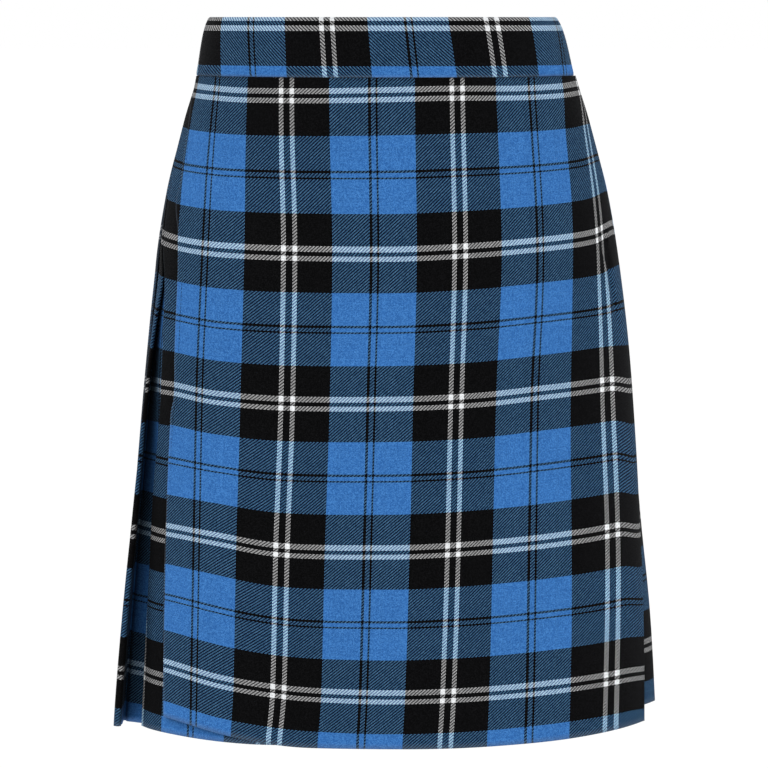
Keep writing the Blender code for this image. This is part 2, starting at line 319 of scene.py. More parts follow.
class Ring:
    """The closed section of the garment at one drop, read by the distance along it."""

    STEPS = 720

    def __init__(self, drop):
        self.drop = drop
        self.axes = [curve(drop) for curve in SECTION_CURVES]
        self.lengths = [0.0]
        last = self.at(0.0)[0]
        for i in range(1, self.STEPS + 1):
            here = self.at(2 * math.pi * i / self.STEPS)[0]
            self.lengths.append(self.lengths[-1] + math.dist(last, here))
            last = here
        self.round = self.lengths[-1]
        self.middle = self.along(-90.0)

    def at(self, angle):
        right, left, front, back = self.axes
        wide = left if math.cos(angle) > 0 else right
        deep = back if math.sin(angle) > 0 else front
        normal = (math.cos(angle) / wide, math.sin(angle) / deep)
        size = math.hypot(*normal)
        point = (wide * math.cos(angle), deep * math.sin(angle))
        return point, (normal[0] / size, normal[1] / size)

    def along(self, degrees):
        turns, rest = divmod(degrees / 360.0, 1.0)
        place = rest * self.STEPS
        low = min(self.STEPS - 1, int(place))
        part = self.lengths[low] + (place - low) * (self.lengths[low + 1] - self.lengths[low])
        return turns * self.round + part

    def degrees(self, along):
        turns, rest = divmod(along, self.round)
        low = min(self.STEPS - 1, bisect_right(self.lengths, rest) - 1)
        part = (rest - self.lengths[low]) / (self.lengths[low + 1] - self.lengths[low])
        return 360.0 * (turns + (low + part) / self.STEPS)

    def place(self, along, out, lift=0.0):
        point, normal = self.at(math.radians(self.degrees(along)))
        z = BAND_HEIGHT / 2 - self.drop + lift
        return (point[0] + normal[0] * out, point[1] + normal[1] * out, z)


RINGS = {}


def ring_at(drop):
    if drop not in RINGS:
        RINGS[drop] = Ring(drop)
    return RINGS[drop]


def opened(drop):
    return ease((drop - FELL) / (TOP_TO_HEM - FELL)) ** 0.8


def step_at(drop):
    return STITCHED_STEP + (HEM_STEP - STITCHED_STEP) * opened(drop)


def low_share(drop):
    """0 down to the middle of the skirt, 1 near the hem."""
    return ease((drop - 0.3) / 0.3)


def side_share(degrees):
    """0 at the middle of the front, 1 near the wearer's right side."""
    return ease((-degrees - 90.0) / 55.0)


def soft_wave(degrees, drop):
    """The slow waves of the hanging aprons, stronger towards the hem."""
    turn = math.radians(degrees)
    slow = 0.7 * math.sin(5.0 * turn + 0.6) + 0.5 * math.sin(9.0 * turn + 3.0 * drop)
    wave = slow + 0.3 * math.sin(14.0 * turn + 1.9)
    return wave * MM * ease((drop - 0.1) / 0.45) * ease((-degrees - 6.0) / 25.0)


def crease_out(degrees, drop):
    """How far the creases move the cloth at one place."""
    total = 0.0
    for crease in CREASES:
        wide = crease.to_degrees - crease.degrees
        deep = crease.to_drop - crease.drop
        across = (wide * MM_PER_DEGREE, deep * 1000)
        here = ((degrees - crease.degrees) * MM_PER_DEGREE, (drop - crease.drop) * 1000)
        size = across[0] ** 2 + across[1] ** 2
        share = (here[0] * across[0] + here[1] * across[1]) / size
        if not 0.0 < share < 1.0:
            continue
        away = (here[0] * across[1] - here[1] * across[0]) / math.sqrt(size)
        deepest = crease.deep * MM * math.sin(math.pi * share) ** 1.2
        total += deepest * math.exp(-((away / crease.wide) ** 2))
    return total


def over_out(degrees, drop):
    lifted = side_share(degrees) * (1.9 + 1.9 * opened(drop)) * MM
    step_out = HIP_STEP * ease((degrees + 60.0) / 50.0) * (1 - ease((drop - 0.075) / 0.06))
    return lifted - CLOTH_INSET + step_out + soft_wave(degrees, drop) + crease_out(degrees, drop)


def side_lift(degrees, drop):
    return SIDE_LIFT * ease((degrees + 75.0) / 55.0) * low_share(drop)


def over_lift(degrees, drop):
    """The hem rises at the free corner, and a little towards the fold."""
    corner = HEM_LIFT * ease((-degrees - 106.0) / 44.0) * ease((drop - 0.25) / 0.36) ** 1.3
    return corner + side_lift(degrees, drop)


def pleat_lift(ring, along):
    """The first pleats on the wearer's left hang a little higher than the rest."""
    rise, start, end = (ring.along(degrees) for degrees in (-30.0, -14.0, FIRST_PLEATS_END_ANGLE))
    fade = 1 - ease((along - start) / (end - start))
    grown = ease((along - rise) / (start - rise)) * low_share(ring.drop)
    return ((FIRST_PLEATS_LIFT - SIDE_LIFT) * grown + side_lift(0.0, ring.drop)) * fade


def row_rise(ring, along):
    """How much higher the rows of the first pleats lie than those of the over apron beside them."""
    start, end = (ring.along(degrees) for degrees in (8.0, FIRST_PLEATS_END_ANGLE))
    fade = 1 - ease((along - start) / (end - start))
    return FIRST_ROWS_RISE * ease((ring.drop - 0.3) / 0.25) * fade


def under_lift(degrees, drop):
    """The hidden part of the under apron hangs a little shorter than the over apron."""
    hidden = HIDDEN_LIFT * ease((degrees + 122.0) / 22.0) * low_share(drop)
    return side_lift(degrees, drop) + hidden


def under_out(degrees, drop):
    inset = UNDER_INSET - side_share(degrees) * UNDER_SIDE_OUT
    return soft_wave(degrees, drop) + crease_out(degrees, drop) - inset


def flare(pleat, drop):
    """How far the fold of a pleat stands out, from none at the fell to the most at the hem."""
    if pleat < 0:
        return -CLOTH_INSET
    share = ease((drop - FELL) / (TOP_TO_HEM - FELL))
    uneven = (2.4 * math.sin(1.9 * pleat + 0.7) + 1.8 * math.sin(0.8 * pleat)) * MM
    amount = (MEAN_FLARE + uneven) * share ** 0.7
    if pleat < len(FIRST_FLARES):
        amount = FIRST_FLARES[pleat] * share
    if pleat == PLEATS - 1:
        amount = LAST_FLARE * share ** 0.7
    return amount - CLOTH_INSET


def fold_places(ring):
    """Where the folds of the pleats are, from the over apron's own fold to the last pleat."""
    start = ring.along(-LEFT_FOLD(ring.drop))
    gap = LAST_GAP + LAST_GAP_OPENS * opened(ring.drop)
    end = ring.along(180.0 + LAST(ring.drop)) - gap
    pitch = (end - start) / PLEATS
    shift = PLEAT_SHIFT * opened(ring.drop)
    places = []
    for i in range(PLEATS + 1):
        moved = shift * math.sin(2.3 * i) + PLEAT_WAVER * math.sin(1.7 * i + 24.0 * ring.drop)
        places.append(start + pitch * i + (moved if 0 < i < PLEATS else 0.0))
    return places


def underlap(folds):
    """How far each pleat reaches back beneath itself."""
    pitch = (folds[-1] - folds[0]) / PLEATS
    return min((CLOTH_PER_PLEAT - pitch) / 2, 0.84 * pitch)


# One point of a profile: where it lies, its warp thread, and how near it is to a rubbed edge, 0 to 1.
Knot = namedtuple("Knot", "along out warp rub")


def run(start, end, count):
    """count evenly spaced points from start, short of end."""
    return [
        (start[0] + (end[0] - start[0]) * i / count, start[1] + (end[1] - start[1]) * i / count)
        for i in range(count)
    ]


def folded(along, top, size, way, count):
    """The round of a folded edge that points along way, from the upper layer to the lower."""
    half = size / 2
    points = []
    for i in range(count + 1):
        angle = math.pi * (0.5 - i / count)
        reach = -0.35 * half + 1.25 * half * math.cos(angle)
        points.append((along + way * reach, top - half + half * math.sin(angle)))
    return points


def travelled(points):
    """The distance along the cloth to each point."""
    lengths = [0.0]
    for before, here in zip(points, points[1:]):
        lengths.append(lengths[-1] + math.dist(before, here))
    return lengths


def rubbed(distance):
    """How rubbed the cloth is at a distance from a folded edge."""
    return math.exp(-((distance / RUBBED_WIDTH) ** 2))


def knots(points, anchors, edges, wide=1.0):
    """Points with their warp threads, each counted along the cloth from the anchor that owns it.

    anchors holds (index of the point, its thread, index of the last point that it owns).
    """
    lengths = travelled(points)
    done = []
    owner = 0
    for i, point in enumerate(points):
        while owner < len(anchors) - 1 and i > anchors[owner][2]:
            owner += 1
        index, thread, _ = anchors[owner]
        warp = thread + (lengths[i] - lengths[index]) / (THREAD * wide)
        rub = max(rubbed(lengths[i] - lengths[edge]) for edge in edges)
        done.append(Knot(point[0], point[1], warp, rub))
    return done


def apron_warps(ring):
    """The warp thread at each distance along the over apron."""
    pairs = [
        (ring.middle + curve(ring.drop) * MM, thread) for curve, thread in zip(WARP_CURVES, WARP_THREADS)
    ]
    fold = fold_places(ring)[0]
    plain = WARP_THREADS[-1] + (fold - pairs[-1][0]) / THREAD
    stretched = ease((ring.drop - 0.14) / 0.10)
    pairs.append((fold, plain * (1 - stretched) + THREAD_AT_LEFT_FOLD * stretched))
    return Curve(pairs, 1 / THREAD)


def over_apron_profile(ring):
    """From the turning inside the free edge, over the front, to the fold and the lap inside it."""
    drop = ring.drop
    free = ring.along(-180.0 + FREE(drop))
    fold = fold_places(ring)[0]
    step = step_at(drop)
    warp_at = apron_warps(ring)
    edge_out = over_out(ring.degrees(free), drop)
    inner = free + EDGE_TURNING
    layer = over_out(ring.degrees(inner), drop) - TURNING_STEP
    turning = run((inner, layer), (free + TURNING_STEP, edge_out - TURNING_STEP), 4)
    turning += folded(free + TURNING_STEP / 2, edge_out, TURNING_STEP, -1, 6)[::-1]
    face = []
    start = free + 1.4 * MM
    end = fold - 3 * MM
    stitched = free + STITCH_INSET(drop)
    for i in range(FACE_POINTS + 1):
        along = start + (end - start) * i / FACE_POINTS
        groove = GROOVE_DEPTH * math.exp(-(((along - stitched) / GROOVE_WIDTH) ** 2))
        face.append((along, over_out(ring.degrees(along), drop) - groove))
    top = flare(-1, drop)
    back = fold - APRON_UNDERLAP
    inside = folded(fold, top, step, 1, 8)
    inside += run((fold - 2 * MM, top - step), (back, top - step), 6)
    inside += folded(back, top - step, step, -1, 4)
    seam = (fold - APRON_UNDERLAP / 2 - SEAM_GAP / 2, top - 2 * step)
    inside += run((back + 2 * MM, top - 2 * step), seam, 3)
    inside.append(seam)
    points = turning + face + inside
    lengths = travelled(points)
    first, last = len(turning), len(turning) + len(face) - 1
    tip = last + 5
    done = []
    for i, point in enumerate(points):
        if i < first:
            warp = warp_at(points[first][0]) - (lengths[first] - lengths[i]) / THREAD
        elif i <= last:
            warp = warp_at(point[0])
        else:
            warp = warp_at(points[last][0]) + (lengths[i] - lengths[last]) / THREAD
        rub = max(rubbed(lengths[i] - lengths[edge]) for edge in (len(turning) - 3, tip))
        done.append(Knot(point[0], point[1], warp, rub))
    return done


def bridge_out(drop):
    """How far out the cloth between the last pleat and the under apron lies."""
    return -CLOTH_INSET - 2 * step_at(drop)


def tip_thread(pleat):
    """The thread on the fold of a pleat; the last two both fold in black."""
    if pleat == PLEATS - 2:
        return LAST_TIP_THREAD - REPEAT + BLACK_SHIFT
    share = pleat / (PLEATS - 1)
    return FIRST_TIP_THREAD + (LAST_TIP_THREAD - FIRST_TIP_THREAD) * share


def pleat_profile(ring, first, last):
    """Pleats first to last - 1, from the seam inside the fold before them to the seam in their last one."""
    drop = ring.drop
    step = step_at(drop)
    folds = fold_places(ring)
    lap = underlap(folds)
    lap_before = APRON_UNDERLAP if first == 0 else lap
    emerges = flare(first - 1, drop) - 2 * step
    start = (folds[first] - lap_before / 2 + SEAM_GAP / 2, emerges)
    if first > 0:
        before = flare(first - 2, drop) - 2 * step
        slope = (flare(first - 1, drop) - before) / (folds[first] - folds[first - 1])
        start = (start[0], emerges - slope * lap / 2)
    points = []
    anchors = []
    edges = []
    for pleat in range(first, last):
        tip = folds[pleat + 1]
        emerges = flare(pleat - 1, drop) - 2 * step
        top = flare(pleat, drop)
        slope = (top - emerges) / (tip - folds[pleat])
        final = pleat == PLEATS - 1
        points += run(start, (folds[pleat], emerges), 3)
        points += run((folds[pleat], emerges), (tip - 1.2 * step, top - slope * 1.2 * step), 14)
        size = step * LAST_ROUND_SHARE if final else step
        size = min(size, step + LAST_ROUND_MORE * opened(drop))
        edges.append(len(points) + 3)
        points += folded(tip, top, size, 1, 7)
        at_back = top - slope * lap
        middle = (tip - lap / 2, top - slope * lap / 2 - (step + size) / 2)
        points += run((tip - 1.3 * size, top - slope * 1.3 * size - size), middle, 4)
        points += run(middle, (tip - lap + step, at_back - step), 3)
        points += folded(tip - lap, at_back - step, step, -1, 4)
        anchors.append((edges[-1], tip_thread(pleat), len(points) - 3))
        start = (tip - lap + step, at_back - 2 * step)
        if final:
            bridge = bridge_out(drop)
            half = (tip - lap / 2, at_back - 2 * step + (bridge - at_back + 2 * step) * 0.45)
            end = (tip + LAST_SEAM - SEAM_GAP / 2, bridge)
            points += run(start, half, 3) + run(half, (tip, bridge), 4)
            anchors.append((len(points), LAST_TIP_THREAD + BRIDGE_THREADS, len(points) + 10))
            points += run((tip, bridge), end, 6)
            points.append(end)
        elif pleat == last - 1:
            end = (tip - lap / 2 - SEAM_GAP / 2, top - slope * lap / 2 - 2 * step)
            points += run(start, end, 3)
            points.append(end)
    return knots(points, anchors, edges[:-1] if last == PLEATS else edges)


def under_apron_profile(ring):
    """From the seam behind its fold, round the fold on the wearer's right, and on under the over apron."""
    drop = ring.drop
    step = step_at(drop)
    tip = ring.along(180.0 + FOLD(drop))
    top = -CLOTH_INSET
    last = fold_places(ring)[-1]
    inner = tip + APRON_UNDERLAP
    start = (last + LAST_SEAM + SEAM_GAP / 2, bridge_out(drop))
    points = run(start, (inner - step, top - 2 * step), 12)
    behind = len(points) - 1
    points += folded(inner, top - step, step, 1, 4)[::-1]
    points += run((inner - step, top - step), (tip + step, top - step), 8)
    edge = len(points) + 4
    points += folded(tip, top, step, -1, 8)[::-1]
    end = ring.along(UNDER_FREE_ANGLE)
    near = tip - ring.round + 2 * MM
    for i in range(UNDER_POINTS + 1):
        along = near + (end - near) * i / UNDER_POINTS
        degrees = ring.degrees(along)
        blend = 1 - ease((along - near) / (16 * MM))
        out = under_out(degrees, drop) * (1 - blend) + top * blend
        points.append((along + ring.round, out))
    at_start = LAST_TIP_THREAD + BRIDGE_THREADS + LAST_SEAM / THREAD
    anchors = [(0, at_start, behind), (edge, UNDER_TIP_THREAD(drop), len(points))]
    return knots(points, anchors, [edge], UNDER_TIP_WIDE(drop))


def weft_at(ring, degrees, raised=0.0):
    """The weft thread at one place: rows rise towards the sides of the aprons, and run level behind."""
    while degrees > 180.0:
        degrees -= 360.0
    rises = [(angle, curve(ring.drop)) for angle, curve in zip(WEFT_ANGLES, RISE_CURVES)]
    rise = Curve(rises + [(30.0, 0.0), (140.0, 0.0), (180.0, rises[0][1])])(degrees)
    return WEFT_BY_DROP(ring.drop + rise * MM + raised)


def sheet_rows():
    count = round((TOP_TO_HEM - SKIRT_TOP) / ROW_SPACING)
    return [SKIRT_TOP + (TOP_TO_HEM - SKIRT_TOP) * i / count for i in range(count + 1)]


def add_attributes(mesh, threads, rubs):
    """Numbers each point's warp and weft thread, and says how rubbed it is."""
    attribute = mesh.attributes.new("threads", "FLOAT_VECTOR", "POINT")
    flat = [value for pair in threads for value in (pair[0] + FIRST_THREAD, pair[1] + FIRST_THREAD, 0.0)]
    attribute.data.foreach_set("vector", flat)
    mesh.attributes.new("rub", "FLOAT", "POINT").data.foreach_set("value", rubs)


def cloth_object(name, lines, threads, rubs, wall, material):
    """A skin through rows of points, with its thickness, smooth shaded."""
    skin = bmesh.new()
    rows = [[skin.verts.new(place) for place in line] for line in lines]
    for upper, lower in zip(rows, rows[1:]):
        for i in range(len(upper) - 1):
            skin.faces.new((upper[i], lower[i], lower[i + 1], upper[i + 1]))
    skin.normal_update()
    mesh = bpy.data.meshes.new(name)
    skin.to_mesh(mesh)
    skin.free()
    mesh.shade_smooth()
    add_attributes(mesh, threads, rubs)
    mesh.materials.append(material)
    piece = bpy.data.objects.new(name, mesh)
    bpy.context.scene.collection.objects.link(piece)
    if wall:
        solid = piece.modifiers.new("Thickness", "SOLIDIFY")
        solid.thickness = wall
        solid.offset = 0.0
        solid.use_quality_normals = True
    return piece


def skirt_piece(node, profile, lift, material):
    """One piece of the skirt, which stands for its node."""
    lines, threads, rubs = [], [], []
    for drop in sheet_rows():
        ring = ring_at(drop)
        line = []
        for knot in profile(ring):
            degrees = ring.degrees(knot.along)
            line.append(ring.place(knot.along, knot.out, lift(ring, knot.along)))
            raised = row_rise(ring, knot.along) if node == "left_pleats" else 0.0
            threads.append((knot.warp, weft_at(ring, degrees, raised)))
            rubs.append(max(knot.rub, rubbed(TOP_TO_HEM - drop)))
        lines.append(line)
    piece = cloth_object(node + "_cloth", lines, threads, rubs, CLOTH_WALL, material)
    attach(piece, "root")
    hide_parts(node)
    return piece


def band_outline():
    """The section of the folded band, from its outer lower edge over the top to its inner lower edge."""
    radius = BAND_WALL / 2
    heights = [share * BAND_HEIGHT for share in BAND_ROWS]
    outer = []
    for drop in heights:
        puff = 0.35 * MM * math.sin(math.pi * drop / BAND_HEIGHT)
        tuck = 0.6 * MM * (1 - ease((BAND_HEIGHT - drop) / (1.6 * MM)))
        outer.append((drop, radius + puff - tuck))
    over = []
    for i in range(9):
        angle = math.pi * i / 8
        over.append((radius * (1 - math.sin(angle)), radius * math.cos(angle)))
    inner = [(drop, -radius) for drop in heights[::-1]]
    return outer + over + inner


def band_piece(material):
    """The waistband, from its free end on the wearer's right, once round, and on beneath itself."""
    lines, threads, rubs = [], [], []
    middle = ring_at(BAND_HEIGHT / 2)
    last_stripe = BAND_STRIPES[-1]
    stripe_mm = (last_stripe.top + last_stripe.bottom) / 2
    travelled_down = 0.0
    last = None
    for drop, out in band_outline():
        here = (drop, out)
        if last is not None:
            travelled_down += math.dist(here, last)
        last = here
        ring = ring_at(drop)
        start = ring.along(-180.0 + BAND_OVER_END_ANGLE)
        end = ring.along(360.0 + BAND_UNDER_END_ANGLE)
        low = drop / BAND_HEIGHT
        pairs = []
        for row in BAND_STRIPES:
            stripe = row.top + (row.bottom - row.top) * low
            pairs.append((ring.middle + stripe * MM, row.thread))
        for degrees in BACK_ANGLES:
            far = middle.along(degrees) - middle.middle - stripe_mm * MM
            pairs.append((ring.along(degrees), last_stripe.thread + far / THREAD))
        warp_at = Curve(pairs, 1 / THREAD)
        weft = BAND_TOP_THREAD + BAND_THREADS_PER_METRE * (BAND_HEIGHT - travelled_down)
        line = []
        for i in range(BAND_POINTS + 1):
            along = start + (end - start) * i / BAND_POINTS
            degrees = ring.degrees(along)
            over = side_share(degrees) * 1.2 * MM - BAND_WALL / 2 if degrees < 0 else -BAND_WALL / 2
            sunk = (BAND_WALL + 0.6 * MM) * ease((degrees - 140.0) / 34.0)
            raised = 1.2 * MM * side_share(degrees - 360.0) if degrees > 180 else 0.0
            line.append(ring.place(along, over - sunk + raised + out))
            threads.append((warp_at(along), weft))
            end_rub = rubbed(min(along - start, end - along))
            rubs.append(max(end_rub, rubbed(drop + 0.5 * MM), rubbed(BAND_HEIGHT - drop)))
        lines.append(line)
    piece = cloth_object("waistband_cloth", lines, threads, rubs, 0.0, material)
    shell = bmesh.new()
    shell.from_mesh(piece.data)
    shell.verts.ensure_lookup_table()
    rows = len(lines)
    wide = BAND_POINTS + 1
    for i in range(BAND_POINTS):
        low, high = (rows - 1) * wide + i, i
        shell.faces.new([shell.verts[n] for n in (low, high, high + 1, low + 1)])
    for i in (0, BAND_POINTS):
        loop = [shell.verts[row * wide + i] for row in range(rows)]
        shell.faces.new(loop if i else loop[::-1])
    bmesh.ops.recalc_face_normals(shell, faces=shell.faces)
    shell.to_mesh(piece.data)
    shell.free()
    piece.data.shade_smooth()
    piece.data.set_sharp_from_angle(angle=math.radians(50))
    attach(piece, "root")
    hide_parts("waistband")
    return piece


def linear(red, green, blue):
    """A colour as screens show it, from 0 to 255, as amounts of light."""
    def one(value):
        value /= 255
        return value / 12.92 if value <= 0.04045 else ((value + 0.055) / 1.055) ** 2.4
    return (one(red), one(green), one(blue), 1.0)


YARNS = {
    "warp": {"black": linear(7, 7, 8), "white": linear(230, 232, 234), "blue": linear(56, 112, 178)},
    "weft": {"black": linear(8, 8, 9), "white": linear(244, 246, 248), "blue": linear(54, 110, 178)},
}

# Where two yarns cross, the fine fibres mix: the hue is that of both, and only the lightness is that of
# the yarn on top, by this much in red, green and blue. A white yarn between black ones is dulled.
YARN_CONTRAST = (0.93, 1.40, 1.50)
DARKEST, DULLED, LIGHTEST = 0.03, 0.75, 0.985
SCREEN_GAMMA = 2.2
# Painted shade between the yarns: how dark it is, and where each yarn's edge begins.
BETWEEN_YARNS_SHADE_POWER = 1.8
YARN_EDGE = 0.48
# Painted shade in folds and hollows, from ambient occlusion: how far it reaches, how steeply it falls and
# how dark it gets.
FOLD_SHADE_REACH = 0.045
FOLD_SHADE_POWER = 1.7
FOLD_SHADE_DARKEST = 0.14
FUZZ = 0.30
FUZZ_COLOUR = linear(150, 165, 185)


class Weave:
    """A node tree that is put together from small steps."""

    def __init__(self, material):
        material.use_nodes = True
        self.tree = material.node_tree
        self.shader = self.tree.nodes["Principled BSDF"]

    def node(self, kind, **settings):
        node = self.tree.nodes.new(kind)
        for name, value in settings.items():
            setattr(node, name, value)
        return node

    def join(self, source, socket):
        self.tree.links.new(source, socket)

    def feed(self, socket, value):
        if isinstance(value, (int, float, tuple)):
            socket.default_value = value
        else:
            self.join(value, socket)

    def math(self, operation, first, second=0.0):
        node = self.node("ShaderNodeMath", operation=operation)
        self.feed(node.inputs[0], first)
        self.feed(node.inputs[1], second)
        return node.outputs[0]

    def mixed(self, share, first, second):
        node = self.node("ShaderNodeMix", data_type="RGBA")
        self.feed(node.inputs["Factor"], share)
        self.feed(node.inputs[6], first)
        self.feed(node.inputs[7], second)
        return node.outputs[2]

    def blended(self, way, first, second):
        node = self.node("ShaderNodeMix", data_type="RGBA", blend_type=way)
        self.feed(node.inputs["Factor"], 1.0)
        self.feed(node.inputs[6], first)
        self.feed(node.inputs[7], second)
        return node.outputs[2]

    def shaded(self, colour, amount):
        """A colour made lighter or darker by a number near 1."""
        node = self.node("ShaderNodeVectorMath", operation="SCALE")
        self.feed(node.inputs[0], colour)
        self.feed(node.inputs["Scale"], amount)
        return node.outputs[0]

    def vector(self, operation, first, second):
        node = self.node("ShaderNodeVectorMath", operation=operation)
        self.feed(node.inputs[0], first)
        self.feed(node.inputs[1], second)
        return node.outputs[0]

    def lightness(self, colour):
        node = self.node("ShaderNodeRGBToBW")
        self.join(colour, node.inputs[0])
        return node.outputs[0]

    def powered(self, colour, power):
        """Each channel of a colour raised to a power."""
        node = self.node("ShaderNodeGamma")
        self.feed(node.inputs["Color"], colour)
        self.feed(node.inputs["Gamma"], power)
        return node.outputs[0]

    def between(self, value, low, high):
        """A value from 0 to 1 turned into one from low to high."""
        node = self.node("ShaderNodeMapRange")
        self.feed(node.inputs["Value"], value)
        self.feed(node.inputs["To Min"], low)
        self.feed(node.inputs["To Max"], high)
        return node.outputs["Result"]

    def combined(self, x, y, z=0.0):
        node = self.node("ShaderNodeCombineXYZ")
        for socket, value in zip(node.inputs, (x, y, z)):
            self.feed(socket, value)
        return node.outputs[0]

    def noise(self, vector, scale, detail):
        node = self.node("ShaderNodeTexNoise")
        self.feed(node.inputs["Vector"], vector)
        node.inputs["Scale"].default_value = scale
        node.inputs["Detail"].default_value = detail
        return node.outputs[0]

    def chance(self, vector):
        """A fixed chance value from 0 to 1 for each place."""
        node = self.node("ShaderNodeTexWhiteNoise")
        self.feed(node.inputs["Vector"], vector)
        return node.outputs["Value"]

    def sett(self, thread, sett, yarns):
        """The colour of a thread from its number."""
        ramp = self.node("ShaderNodeValToRGB")
        ramp.color_ramp.interpolation = "CONSTANT"
        stops = ramp.color_ramp.elements
        start = 0
        for i, (yarn, count) in enumerate(sett):
            stop = stops[i] if i < len(stops) else stops.new(1.0)
            stop.position = start / REPEAT
            stop.color = yarns[yarn]
            start += count
        place = self.math("FRACT", self.math("DIVIDE", self.math("ADD", thread, 0.5), REPEAT))
        self.join(place, ramp.inputs[0])
        return ramp.outputs[0]


def tartan_material(name, slant):
    """Two-up, two-down twill in the yarns of the sett; slant 1 rises to the right, -1 falls."""
    material = bpy.data.materials.new(name)
    weave = Weave(material)
    placed = weave.node("ShaderNodeAttribute", attribute_name="threads").outputs["Vector"]
    split = weave.node("ShaderNodeSeparateXYZ")
    weave.join(placed, split.inputs[0])
    warp, weft = split.outputs[0], split.outputs[1]
    warp_number = weave.math("FLOOR", warp)
    weft_number = weave.math("FLOOR", weft)

    counted = weave.math("ADD", warp_number, weave.math("MULTIPLY", weft_number, float(slant)))
    phase = weave.math("MODULO", weave.math("ADD", counted, 100000.0), 4.0)
    warp_on_top = weave.math("LESS_THAN", phase, 1.5)

    across_warp = weave.math("SINE", weave.math("MULTIPLY", weave.math("FRACT", warp), math.pi))
    across_weft = weave.math("SINE", weave.math("MULTIPLY", weave.math("FRACT", weft), math.pi))
    yarn_round = weave.node("ShaderNodeMix", data_type="FLOAT")
    weave.join(warp_on_top, yarn_round.inputs["Factor"])
    weave.join(across_weft, yarn_round.inputs[2])
    weave.join(across_warp, yarn_round.inputs[3])
    height = yarn_round.outputs[0]

    warp_fibres = weave.combined(weave.math("MULTIPLY", warp, 5.0), weave.math("MULTIPLY", weft, 0.9))
    weft_fibres = weave.combined(weave.math("MULTIPLY", warp, 0.9), weave.math("MULTIPLY", weft, 5.0))
    fibre_place = weave.mixed(warp_on_top, weft_fibres, warp_fibres)
    fibres = weave.noise(fibre_place, 1.0, 2.0)

    warp_yarn = weave.sett(warp_number, WARP_SETT, YARNS["warp"])
    weft_yarn = weave.sett(weft_number, WEFT_SETT, YARNS["weft"])
    warp_seen = weave.powered(warp_yarn, 1 / SCREEN_GAMMA)
    weft_seen = weave.powered(weft_yarn, 1 / SCREEN_GAMMA)
    halfway = weave.mixed(0.5, warp_seen, weft_seen)
    on_top = weave.mixed(warp_on_top, weft_seen, warp_seen)
    lighter = weave.math("SUBTRACT", weave.lightness(on_top), weave.lightness(halfway))
    moved = weave.vector("MULTIPLY", weave.combined(lighter, lighter, lighter), YARN_CONTRAST)
    moved = weave.vector("ADD", halfway, moved)
    moved = weave.vector("MAXIMUM", moved, (DARKEST, DARKEST, DARKEST))
    darker_light = weave.lightness(weave.blended("DARKEN", warp_seen, weft_seen))
    most = weave.between(weave.math("MULTIPLY", darker_light, 3.0), DULLED, LIGHTEST)
    moved = weave.vector("MINIMUM", moved, weave.combined(most, most, most))
    top_yarn = weave.powered(moved, SCREEN_GAMMA)
    both = weave.powered(halfway, SCREEN_GAMMA)
    # Painted shade between the yarns: where a yarn rounds down to its edge, the colour turns to a darkened
    # mix of the two crossing yarns.
    darker = weave.blended("DARKEN", warp_yarn, weft_yarn)
    shade_between_yarns = weave.blended("LIGHTEN", darker, weave.powered(both, BETWEEN_YARNS_SHADE_POWER))
    covered = weave.node("ShaderNodeMapRange", interpolation_type="SMOOTHSTEP")
    weave.join(height, covered.inputs["Value"])
    covered.inputs["From Min"].default_value = YARN_EDGE
    covered.inputs["From Max"].default_value = 1.0
    colour = weave.mixed(covered.outputs["Result"], shade_between_yarns, top_yarn)
    uneven_warp = weave.chance(weave.combined(warp_number, 3.0))
    uneven_weft = weave.chance(weave.combined(7.0, weft_number))
    yarn_chance = weave.node("ShaderNodeMix", data_type="FLOAT")
    weave.join(warp_on_top, yarn_chance.inputs["Factor"])
    weave.join(uneven_weft, yarn_chance.inputs[2])
    weave.join(uneven_warp, yarn_chance.inputs[3])
    where = weave.node("ShaderNodeTexCoord").outputs["Object"]
    cloudy = weave.noise(where, 14.0, 3.0)
    crossing = weave.chance(weave.combined(warp_number, weft_number, 5.0))

    # The tone varies at random by yarn, fibre, crossing and place, and also carries painted shade from each
    # yarn's round and from folds.
    tone_and_shade = weave.between(yarn_chance.outputs[0], 0.93, 1.07)
    tone_and_shade = weave.math("MULTIPLY", tone_and_shade, weave.between(fibres, 0.80, 1.20))
    tone_and_shade = weave.math("MULTIPLY", tone_and_shade, weave.between(crossing, 0.86, 1.16))
    tone_and_shade = weave.math("MULTIPLY", tone_and_shade, weave.between(cloudy, 0.93, 1.07))
    # Painted shade: each yarn is darker towards its edges, where it rounds down.
    tone_and_shade = weave.math("MULTIPLY", tone_and_shade, weave.between(height, 0.80, 1.07))
    # Painted shade in folds and hollows: the colour is darkened where ambient occlusion finds cloth nearby.
    hollow = weave.node("ShaderNodeAmbientOcclusion", samples=6)
    hollow.inputs["Distance"].default_value = FOLD_SHADE_REACH
    painted_fold_shade = weave.math("POWER", hollow.outputs["AO"], FOLD_SHADE_POWER)
    tone_and_shade = weave.math("MULTIPLY", tone_and_shade, weave.between(painted_fold_shade, FOLD_SHADE_DARKEST, 1.0))
    flecked = weave.powered(colour, weave.between(crossing, 1.10, 0.88))
    toned_and_shaded = weave.shaded(flecked, tone_and_shade)

    rub = weave.node("ShaderNodeAttribute", attribute_name="rub").outputs["Fac"]
    fuzz = weave.math("MULTIPLY", rub, weave.between(fibres, 0.0, FUZZ))
    shaded_and_worn = weave.mixed(fuzz, toned_and_shaded, FUZZ_COLOUR)
    weave.join(shaded_and_worn, weave.shader.inputs["Base Color"])

